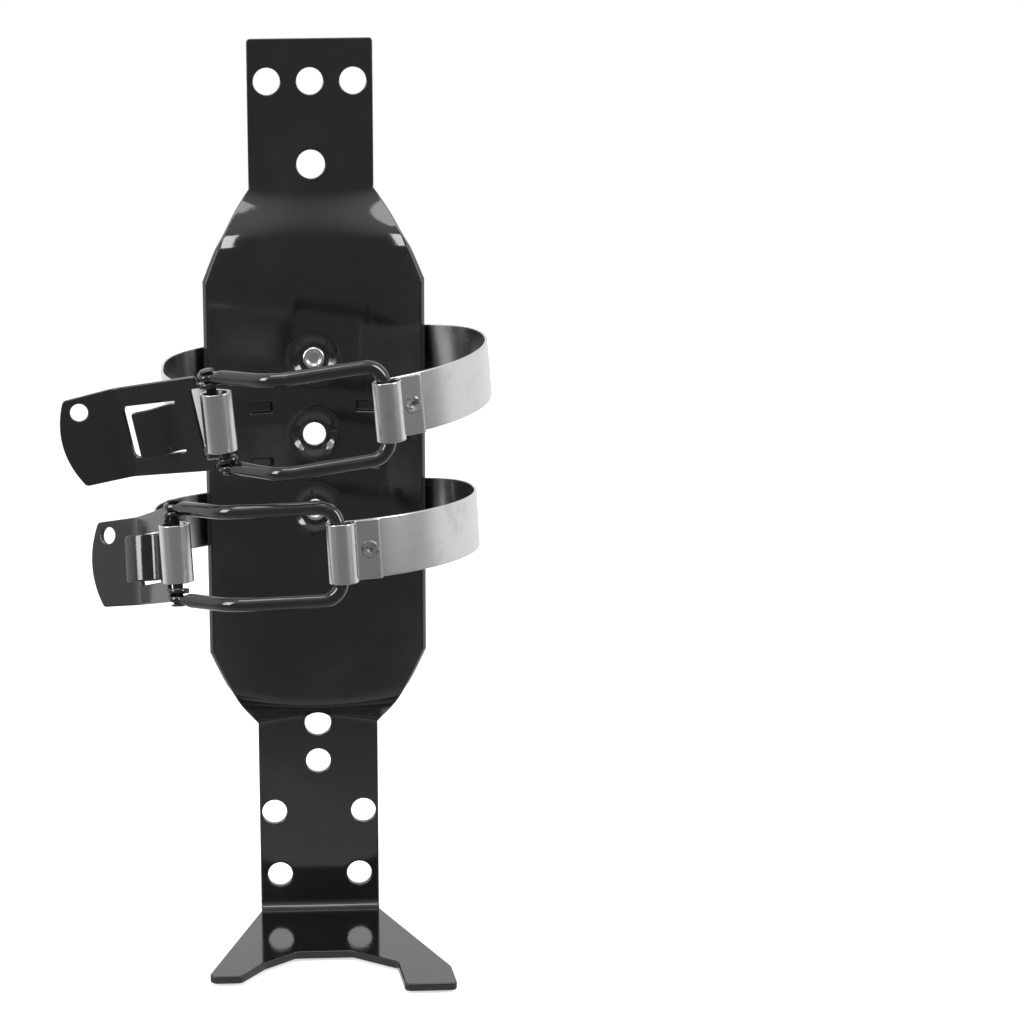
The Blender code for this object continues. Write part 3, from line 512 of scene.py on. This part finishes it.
# outline of the blank: the right side from the neck up, its mirror, and the fork laid out flat below
def plateEdge():
    corner, half, top = plate["corner"], plate["tabHalf"], plate["tabTop"]
    turn = np.radians(np.linspace(0, 90, 7))[:, None]
    tab = [half - corner, top - corner] + corner * np.concatenate([np.cos(turn), np.sin(turn)], axis=1)
    right = np.concatenate([
        [[plate["neckHalf"], bendStart()]],
        bulged((plate["neckHalf"], plate["neckTop"]), (plate["bodyHalf"], plate["bodyEnd"])),
        [[plate["bodyHalf"], plate["bodyEnd"]]],
        bulged((plate["bodyHalf"], plate["bodyTop"]), (half, plate["tabEnd"])),
        [[half, plate["tabEnd"]]], tab])
    left = right[::-1] * [-1, 1]
    ends = [(sign * plate["neckHalf"], plate["forkRoot"], 0) for sign in (-1, 1)]
    fork = roundedLoop([ends[0], *plate["fork"], ends[1]])
    root = bendStart() - bendRadius() * np.pi / 2 + plate["sheet"] + plate["bendInner"]
    foot = np.stack([fork[:, 0], root - fork[:, 1]], axis=1)
    return np.concatenate([right, left, foot])


def plateHoles():
    apart, high, radius = plate["tabRow"]
    holes = [(step * apart, high, radius) for step in (-1, 0, 1)]
    holes += [(0, *hole) for hole in (plate["tabHole"], plate["middleHole"], *plate["neckHoles"])]
    holes += [(0, ring["high"], rivet["shank"] + band["gap"]) for ring in (upper, lower)]
    holes += [(side * half, high, radius) for half, high, radius in plate["neckPairs"] for side in (-1, 1)]
    return [circle(*hole) for hole in holes]


# an even grid of points, closer together round the stops and over the foot's bend
def buildPlate():
    edge = plateEdge()
    inner = staggered(edge.min(axis=0), edge.max(axis=0), plate["grid"])
    kept = np.ones(len(inner), bool)
    wide, high = plate["stop"][1] / 2, plate["stop"][2] / 2
    close = []
    for x, row in stopSpots():
        kept &= (np.abs(inner[:, 0] - x) > wide + 1.2) | (np.abs(inner[:, 1] - row) > high + 1.2)
        first, last = (x - wide - 1, row - high - 1), (x + wide + 1, row + high + 1)
        close.append(staggered(first, last, plate["stopGrid"]))
    half, bendMiddle = plate["neckHalf"], bendStart() - 3
    bendRows = staggered((0.5 - half, bendMiddle - 4), (half - 0.5, bendMiddle + 4), plate["bendGrid"])
    inBend = (np.abs(inner[:, 1] - bendMiddle) < 4.6) & (np.abs(inner[:, 0]) < half)
    points = np.concatenate([inner[kept & ~inBend]] + close + [bendRows])
    shape = pressedSheet(edge, plateHoles(), points, formPlate, plate, stopDepth)
    addPiece("plateSheet", shape, "plate_paint", "bracket", "back_plate")


buildPlate()


def droopRoom(ring, radius):
    return radius * math.sin(math.radians(abs(ring["droop"])))


def backReach(ring):
    depth, floor, _ = plate["dimple"]
    return plate["standoff"] - depth - band["gap"] - droopRoom(ring, floor) - band["thick"] / 2


# the band's frame: plan points at the rivet's height, turned and drooping about the rivet
def ringMatrix(ring):
    there, back = shifted(0, -backReach(ring), 0), shifted(0, backReach(ring), 0)
    return shifted(0, 0, ring["high"]) @ spun("Y", -ring["turn"]) @ there @ spun("X", ring["droop"]) @ back


# free arm: an ellipse round the loop, x = shift + side W sin t, reach = widest + D cos t
def loopPlan(ring, sign, degrees):
    turn = np.radians(degrees)
    x = ring["shift"] + sign * band["halfWidth"] * np.sin(turn)
    return np.stack([x, band["widest"] + band["halfDepth"] * np.cos(turn)], axis=-1)


def rollFrame(ring, side):
    sign = -1 if side == "left" else 1
    radius = band[side + "Roll"]
    turn = math.radians(ring[side])
    along = unit(np.array([-sign * band["halfWidth"] * math.cos(turn), band["halfDepth"] * math.sin(turn)]))
    out = np.array([sign * along[1], -sign * along[0]])
    return loopPlan(ring, sign, ring[side]) + out * radius, radius, along, out


# arc about a centre from its first arm, as (cos, -sin; sin, cos) of each angle times the arm
def arcPlan(centre, first, degrees, steps):
    turn = np.radians(degrees) * np.arange(1, steps + 1)[:, None] / steps
    crossed = np.array([-first[1], first[0]])
    return centre + np.cos(turn) * first + np.sin(turn) * crossed


def armPlan(ring, side, start, heading):
    sign = -1 if side == "left" else 1
    widest = loopPlan(ring, sign, 90)
    pull = np.linalg.norm(widest - start) * band["pull"]
    guides = [start, start + heading * pull, widest - [0, pull], widest]
    t = np.arange(1, 31)[:, None] / 30
    weights = [(1 - t) ** 3, 3 * (1 - t) ** 2 * t, 3 * (1 - t) * t ** 2, t ** 3]
    free = sum(guide * weight for guide, weight in zip(guides, weights))
    return np.concatenate([free, loopPlan(ring, sign, 90 + (ring[side] - 90) * np.arange(1, 61) / 60)])


def rollPlan(ring, side):
    centre, radius, along, out = rollFrame(ring, side)
    if side == "left":
        return arcPlan(centre, -out * radius, 360 - band["seam"], 56)
    drop = radius - band["thick"] - band["gap"] - band["lapFillet"]
    span = radius + band["lapFillet"]
    past = math.degrees(math.asin(drop / span))
    turnIn = arcPlan(centre, -out * radius, -(270 + past), 56)
    pivot = centre - along * math.sqrt(span ** 2 - drop ** 2) - out * drop
    lap = arcPlan(pivot, turnIn[-1] - pivot, 90 + past, 12)
    end = lap[-1] - along * band["lap"] * np.arange(1, 9)[:, None] / 8
    return np.concatenate([turnIn, lap, end])


def bandPlan(ring):
    centre = plate["standoff"] + plate["sheet"] / 2 + plate["radius"]
    radius = centre - backReach(ring)
    last = math.asin((plate["bodyHalf"] + 1.3) / radius)
    turn = np.linspace(-last, last, 81)
    middle = np.stack([radius * np.sin(turn), centre - radius * np.cos(turn)], axis=1)
    right = [armPlan(ring, "right", middle[-1], unit(middle[-1] - middle[-2])), rollPlan(ring, "right")]
    left = [armPlan(ring, "left", middle[0], unit(middle[0] - middle[1])), rollPlan(ring, "left")]
    return np.concatenate([np.concatenate(left)[::-1], middle] + right)


# the strip: a thin rounded rectangle carried along the plan, point = plan + way out * a, height b
def bandShape(ring):
    plan = bandPlan(ring)
    along = unit(np.gradient(plan, axis=0))
    out = np.stack([along[:, 1], -along[:, 0]], axis=1)
    half, high, corner = band["thick"] / 2, band["high"] / 2, band["corner"]
    turn = np.radians([0, 30, 60, 90])
    arc = np.stack([half - corner + corner * np.cos(turn), high - corner + corner * np.sin(turn)], axis=1)
    guard = np.array([[half, high - corner - 0.2]])
    quarter = np.concatenate([guard, arc])
    profile = np.concatenate([quarter, (quarter * [-1, 1])[::-1],
                              quarter * [-1, -1], (quarter * [1, -1])[::-1]])
    flat = plan[:, None] + out[:, None] * profile[None, :, :1]
    rows = np.stack([flat[..., 0], -flat[..., 1], np.broadcast_to(profile[:, 1], flat.shape[:2])], axis=-1)
    points = placed(rows.reshape(-1, 3), ringMatrix(ring))
    return outward(points, tubeFaces(len(plan), len(profile)))


# spot weld: a shallow crater with a raised lip, turned about its middle
def weldShape(ring):
    plan = bandPlan(ring)
    _, _, along, out = rollFrame(ring, "right")
    spot = plan[-1] + along * band["lap"] / 2
    way = spun("Z", math.degrees(math.atan2(out[0], out[1]))) @ spun("X", 90)
    profile = [(0.01, 0.2), (0.01, 0.43), (1.2, 0.44), (1.7, 0.5),
               (2.1, 0.54), (2.4, 0.5), (2.6, 0.41), (2.6, 0.2)]
    return turnedShape(profile, ringMatrix(ring) @ shifted(spot[0], -spot[1], 0) @ way, 40)


# tubular rivet: tail behind the band, shank, then a rolled head with a hollow
def rivetShape(ring):
    depth = plate["dimple"][0]
    floor = plate["standoff"] + plate["sheet"] - depth + band["gap"]
    back = backReach(ring) - band["thick"] / 2 - band["gap"] - droopRoom(ring, rivet["tail"])
    lip, bore, head, tail = rivet["headHigh"], rivet["bore"], rivet["head"], rivet["tail"]
    turn = np.radians(np.linspace(0, 180, 13))
    middle, reach = (head + bore) / 2, (head - bore) / 2
    roll = [(middle - reach * math.cos(t), floor + 0.25 + (lip - 0.25) * math.sin(t)) for t in turn]
    profile = [(0.01, floor + 0.1), (bore * 0.62, floor + 0.1), (bore * 0.9, floor + 0.16)] + roll
    profile += [(head, floor), (rivet["shank"], floor), (rivet["shank"], back), (tail, back),
                (tail, back - 0.4), (tail * 0.93, back - 0.7), (tail * 0.8, back - 0.9), (0.01, back - 0.9)]
    return turnedShape(profile, shifted(0, 0, ring["high"]) @ spun("X", 90))


def latchMatrix(ring):
    centre = rollFrame(ring, "left")[0]
    tilt = spun("Y", -ring["lean"]) @ spun("X", -ring["pitch"])
    return ringMatrix(ring) @ shifted(centre[0], -centre[1], 0) @ tilt


# pin through the roll, peened to a low dome at both ends
def pinShape(ring):
    under, high, head = bail["eyeHigh"] + 0.3, pin["headHigh"], pin["head"]
    top = [(pin["radius"], under), (head, under + 0.08), (head, under + high * 0.35),
           (head * 0.86, under + high * 0.75), (head * 0.6, under + high * 0.95), (0.01, under + high)]
    profile = [(radius, -height) for radius, height in top[::-1]] + top
    return turnedShape(profile, latchMatrix(ring), 40)


# where the bail bends: the point at its short length from the left roll and its long one from the right
def kinkPlan(ring):
    left, right = rollFrame(ring, "left")[0], rollFrame(ring, "right")[0]
    span = np.linalg.norm(right - left)
    along = (bail["short"] ** 2 - bail["long"] ** 2 + span ** 2) / (2 * span)
    out = math.sqrt(bail["short"] ** 2 - along ** 2)
    chord = (right - left) / span
    return left + chord * along + np.array([-chord[1], chord[0]]) * out


# middle line of the wire in the band's frame: eye, kink, the bend into the roll, and back again
def wireLine(ring):
    toRing = np.linalg.inv(ringMatrix(ring)) @ latchMatrix(ring)
    plan, rightPlan = kinkPlan(ring), rollFrame(ring, "right")[0]
    kink, right = (np.array([place[0], -place[1], 0]) for place in (plan, rightPlan))
    inward = unit(kink - right)
    right = right + inward * (band["rightRoll"] - band["thick"] / 2 - bail["wire"] - 2 * band["gap"])
    turn = np.radians(np.linspace(0, 90, 16))[:, None]
    t = np.linspace(0, 1, 14)[:, None]
    halves = []
    for side in (1, -1):
        lift = np.array([0, 0, side])
        eye = placed(lift * (bail["eyeLow"] + bail["eyeHigh"]) / 2, toRing)
        bend = right + inward * bail["corner"] * (1 - np.sin(turn)) \
            + lift * (bail["half"] - bail["corner"] * (1 - np.cos(turn)))
        corner = kink + lift * bail["half"]
        start = corner + unit(eye - corner) * bail["kink"]
        end = corner + unit(bend[0] - corner) * bail["kink"]
        curve = start * (1 - t) ** 2 + corner * 2 * t * (1 - t) + end * t ** 2
        beyond = eye - unit(corner - eye) * bail["eye"] * 0.98
        halves.append(np.concatenate([[beyond], curve, bend]))
    return np.concatenate([halves[0], halves[1][::-1]]), toRing


def evenly(line, spacing):
    run = np.append(0, np.cumsum(np.linalg.norm(np.diff(line, axis=0), axis=1)))
    marks = np.linspace(0, run[-1], int(run[-1] / spacing) + 1)
    return np.stack([np.interp(marks, run, line[:, axis]) for axis in range(3)], axis=1), marks


# round wire carried along its line; near each end it is flattened into an eye round the pin
def wireShape(ring):
    line, toRing = wireLine(ring)
    line, run = evenly(line, 0.45)
    for _ in range(3):
        line[1:-1] = (line[:-2] + 2 * line[1:-1] + line[2:]) / 4
    along = unit(np.gradient(line, axis=0))
    fromEnd = np.minimum(run, run[-1] - run)
    pinWay = toRing[:3, 2]
    near = softStep((13 - fromEnd) / 6)[:, None]
    level = unit(np.cross(along, [0, 1.0, 0]))
    sign = np.sign(level @ pinWay)[:, None]
    thin = unit(level * (1 - near) + sign * pinWay * near)
    thin = unit(thin - along * np.einsum("ij,ij->i", thin, along)[:, None])
    wide = np.cross(along, thin)
    past = fromEnd - bail["eye"]
    eyeHalf = np.sqrt(np.maximum(bail["eye"] ** 2 - past ** 2, 0.09))
    beside = np.where(past < 0, eyeHalf, np.maximum(eyeHalf, bail["wire"]))
    flat = (bail["eyeHigh"] - bail["eyeLow"]) / 2
    thickness = bail["wire"] + (flat - bail["wire"]) * softStep((9 - fromEnd) / 3.5)
    turn = np.linspace(0, 2 * np.pi, 28, endpoint=False)
    square = softStep((9 - fromEnd) / 3.5)[:, None]
    up = np.sign(np.sin(turn)) * np.abs(np.sin(turn)) ** (1 - 0.55 * square)
    rows = line[:, None] + wide[:, None] * (np.cos(turn) * beside[:, None])[..., None]
    rows = rows + thin[:, None] * (up * thickness[:, None])[..., None]
    return outward(placed(rows.reshape(-1, 3), ringMatrix(ring)), tubeFaces(len(line), len(turn)))


# length of sheet turned through an angle at a radius, then straight: (along, out)
def arcRun(length, radius, degrees):
    full = math.radians(degrees)
    angle = np.clip(length / radius, 0, full)
    rest = np.maximum(length - radius * full, 0)
    along = radius * np.sin(angle) + math.cos(full) * rest
    return along, radius * (1 - np.cos(angle)) + math.sin(full) * rest


# the tongue turns out of the sheet, then levels: its slope falls evenly, so out is the sum of sines
def tonguePlace(length):
    full = math.radians(lever["curl"])
    lifted = lever["curlRadius"] * full
    along, out = arcRun(np.clip(length, 0, lifted), lever["curlRadius"], lever["curl"])
    rest = np.maximum(length - lifted, 0)
    steps = (np.arange(12) + 0.5) / 12
    angle = full * np.clip(1 - rest[:, None] * steps / lever["level"] * 1.6, 0, None)
    return along + rest * np.cos(angle).mean(axis=1), out + rest * np.sin(angle).mean(axis=1)


# the lever's sheet bends back near its tip; the tongue inside the window curls out on its own
def formLever(spots):
    along, high = spots[:, 0], spots[:, 1]
    start, end, half = lever["window"]
    isTongue = (along >= start) & (along < end - lever["mouth"] / 2)
    isTongue &= np.abs(high) < half - lever["slot"] / 2
    tongueX, tongueOut = tonguePlace(np.maximum(along - start, 0))
    arc = lever["bendRadius"] * math.radians(lever["bend"])
    bendAt = lever["main"] - arc / 2
    bentX, bentOut = arcRun(np.maximum(along - bendAt, 0), lever["bendRadius"], lever["bend"])
    x = np.where(isTongue, start + tongueX, np.minimum(along, bendAt) + bentX)
    return np.stack([x, np.where(isTongue, tongueOut, bentOut), high], axis=1)


# outline of the lever's blank: two ears at the root, straight sides, and a tip bulged as a parabola
def leverEdge():
    knuckleLow, knuckleHigh = lever["knuckle"]
    sides = []
    for side, setIn in ((1, 0), (-1, 0.8)):
        end = lever["main"] + lever["tip"] - lever["bulge"] - setIn
        sides.append([(lever["notch"], side * knuckleLow, 1), (0.4, side * knuckleLow, 0),
                      (0.4, side * knuckleHigh, 0), (lever["ear"], side * knuckleHigh, 0),
                      (lever["ear"], side * lever["rootHalf"], 1), (end, side * lever["tipHalf"], 1.5)])
    start, end = np.array(sides[0][-1][:2]), np.array(sides[1][-1][:2])
    t = np.arange(1, 20) / 20
    tip = start + (end - start) * t[:, None] + np.stack([lever["bulge"] * 4 * t * (1 - t), 0 * t], axis=1)
    return roundedLoop(sides[0] + [(x, y, 0) for x, y in tip] + sides[1][::-1])


# the pressed sheet and the two knuckles turned round the pin
def leverShape(ring):
    start, end, half = lever["window"]
    inside, free = half - lever["slot"], end - lever["mouth"]
    window = roundedLoop([(start, half, 0), (end, half, 1.6), (end, -half, 1.6), (start, -half, 0),
                          (start, -inside, 0), (free, -inside, 1), (free, inside, 1), (start, inside, 0)])
    edge = leverEdge()
    holes = [window, circle(*lever["hole"], 40)]
    inner = staggered(edge.min(axis=0), edge.max(axis=0), lever["grid"])
    slotX = (inner[:, 0] > start - 0.5) & (inner[:, 0] < end + 0.5)
    inSlot = slotX & (np.abs(np.abs(inner[:, 1]) - half + lever["slot"] / 2) < 0.8)
    sheet = pressedSheet(edge, holes, inner[~inSlot], formLever, lever)
    barrel, bore = pin["radius"] + 0.3 + lever["sheet"], pin["radius"] + 0.3
    shapes = [sheet]
    for side in (1, -1):
        low, high = sorted(side * np.array(lever["knuckle"]))
        profile = [(bore, low), (barrel - 0.25, low), (barrel, low + 0.25), (barrel, high - 0.25),
                   (barrel - 0.25, high), (bore, high)]
        shapes.append(turnedShape(profile, np.eye(4), 40, True))
    points, groups = joined(shapes)
    turn = latchMatrix(ring) @ spun("Z", 180 - ring["lever"])
    return placed(points, turn), groups


for ring in (upper, lower):
    name = ring["name"]
    addPiece(name + "BandStrip", bandShape(ring), "band_steel", "bracket", name + "_band")
    addPiece(name + "Weld", weldShape(ring), "band_steel", "bracket", finish=weldFinish())
    addPiece(name + "RivetTurned", rivetShape(ring), "rivet_steel", "bracket", name + "_rivet")
    addPiece(name + "BailWire", wireShape(ring), "wire_finish", "bracket", name + "_bail")
    addPiece(name + "PinPeened", pinShape(ring), "pin_finish", "bracket", name + "_pivot_pin")
    addPiece(name + "LeverSheet", leverShape(ring), "lever_finish", name + "_latch", name + "_lever")


# stage: pale floor under the foot, white to the eye with the shadow left on it; in reflections it is
# white behind the bracket and dark on the camera's side, as the room is
stage = dict(reach=3.0, drop=1.0 * mm, colour=(0.8, 0.8, 0.8), lift=0.6, dim=0.5, front=0.24)


def rayKinds(finish):
    return [finish.add("ShaderNodeLightPath", {}, {}, name)
            for name in ("Is Camera Ray", "Is Glossy Ray", "Is Transmission Ray")]


def buildStage():
    floorMesh = bpy.data.meshes.new("floor")
    low = cadBox[0][2] - stage["drop"]
    far = stage["reach"]
    corners = [(-far, -far, low), (far, -far, low), (far, far, low), (-far, far, low)]
    floorMesh.from_pydata(corners, [], [(0, 1, 2, 3)])
    floor = bpy.data.objects.new("floor", floorMesh)
    bpy.context.scene.collection.objects.link(floor)
    finish = Finish("floorPale")
    finish.set(Base_Color=stage["colour"], Roughness=0.9)
    seen, mirrored, through = rayKinds(finish)
    glow = finish.add("ShaderNodeEmission", {}, {"Strength": seen * stage["lift"]})
    lit = finish.add("ShaderNodeAddShader", {}, {0: Field(finish, finish.shader.outputs[0]), 1: glow})
    back = finish.add("ShaderNodeSeparateXYZ", {}, {0: finish.place()}, "Y").step(-0.35, 0.25)
    image = finish.add("ShaderNodeEmission", {}, {"Strength": stage["front"] + (1 - stage["front"]) * back})
    either = mirrored.maths("MAXIMUM", mirrored, through)
    shown = finish.add("ShaderNodeMixShader", {}, {0: either, 1: lit, 2: image})
    finish.feed(finish.output.inputs["Surface"], shown)
    floorMesh.materials.append(finish.material)


def buildWorld():
    world = bpy.data.worlds.new("studio")
    bpy.context.scene.world = world
    finish = Finish("studio", world)
    sky = next(node for node in finish.tree.nodes if node.type == "BACKGROUND")
    seen = finish.add("ShaderNodeLightPath", {}, {}, "Is Camera Ray")
    mirrored = finish.add("ShaderNodeLightPath", {}, {}, "Is Glossy Ray")
    # the room is dark on the camera's side, so gloss black reads black and steel shows soft streaks
    way = finish.add("ShaderNodeTexCoord", {}, {}, "Generated")
    behind = finish.add("ShaderNodeSeparateXYZ", {}, {0: way}, "Y").step(-0.75, 0.1)
    above = finish.add("ShaderNodeSeparateXYZ", {}, {0: way}, "Z").step(0.25, 0.85)
    room = stage["front"] + (1 - stage["front"]) * behind.maths("MAXIMUM", behind, above)
    finish.feed(sky.inputs["Color"], (1, 1, 1))
    lit = (1 - mirrored) * stage["dim"] + mirrored * room
    finish.feed(sky.inputs["Strength"], seen.maths("MAXIMUM", seen, lit))


# softboxes: where each stands, its size and its power in watts; all face the middle of the bracket
lamps = {"top": dict(at=(-0.1, -0.35, 1.05), size=(0.8, 0.6), power=6.0),
         "left": dict(at=(-0.95, -0.62, 0.36), size=(0.4, 0.75), power=9.0),
         "right": dict(at=(0.95, -0.62, 0.36), size=(0.35, 0.75), power=8.0)}
middle = Vector((0, -0.05, -0.12))


def buildLamps():
    for name, box in lamps.items():
        light = bpy.data.lights.new(name + "Softbox", "AREA")
        light.shape = "RECTANGLE"
        light.size, light.size_y = box["size"]
        light.energy = box["power"]
        lamp = bpy.data.objects.new(name + "Softbox", light)
        lamp.location = box["at"]
        lamp.rotation_euler = (middle - lamp.location).to_track_quat("-Z", "Y").to_euler()
        bpy.context.scene.collection.objects.link(lamp)


# camera: stands a little above the bracket and looks down on it, with the bracket left of the middle
view = dict(at=(-23.3, -800.0, 17.6), yaw=-1.62, pitch=10.25, roll=0.76, focal=2456.0, centre=313.0,
            pixels=1024)


def buildCamera():
    lens = bpy.data.cameras.new("camera")
    lens.sensor_width = 36.0
    lens.lens = view["focal"] * lens.sensor_width / view["pixels"]
    lens.shift_x = (view["pixels"] / 2 - view["centre"]) / view["pixels"]
    lens.clip_start = 0.01
    yaw, pitch, roll = (math.radians(view[key]) for key in ("yaw", "pitch", "roll"))
    level = Vector((-math.sin(yaw), math.cos(yaw), 0))
    side = Vector((math.cos(yaw), math.sin(yaw), 0))
    ahead = level * math.cos(pitch) - Vector((0, 0, math.sin(pitch)))
    above = level * math.sin(pitch) + Vector((0, 0, math.cos(pitch)))
    right = side * math.cos(roll) - above * math.sin(roll)
    up = side * math.sin(roll) + above * math.cos(roll)
    turn = Matrix((right, up, -ahead)).transposed().to_4x4()
    camera = bpy.data.objects.new("camera", lens)
    camera.matrix_world = Matrix.Translation(Vector(view["at"]) * mm) @ turn
    bpy.context.scene.collection.objects.link(camera)
    bpy.context.scene.camera = camera


buildStage()
buildWorld()
buildLamps()
buildCamera()
bpy.context.scene.view_settings.view_transform = "Standard"
print("stage, lamps and camera ready")
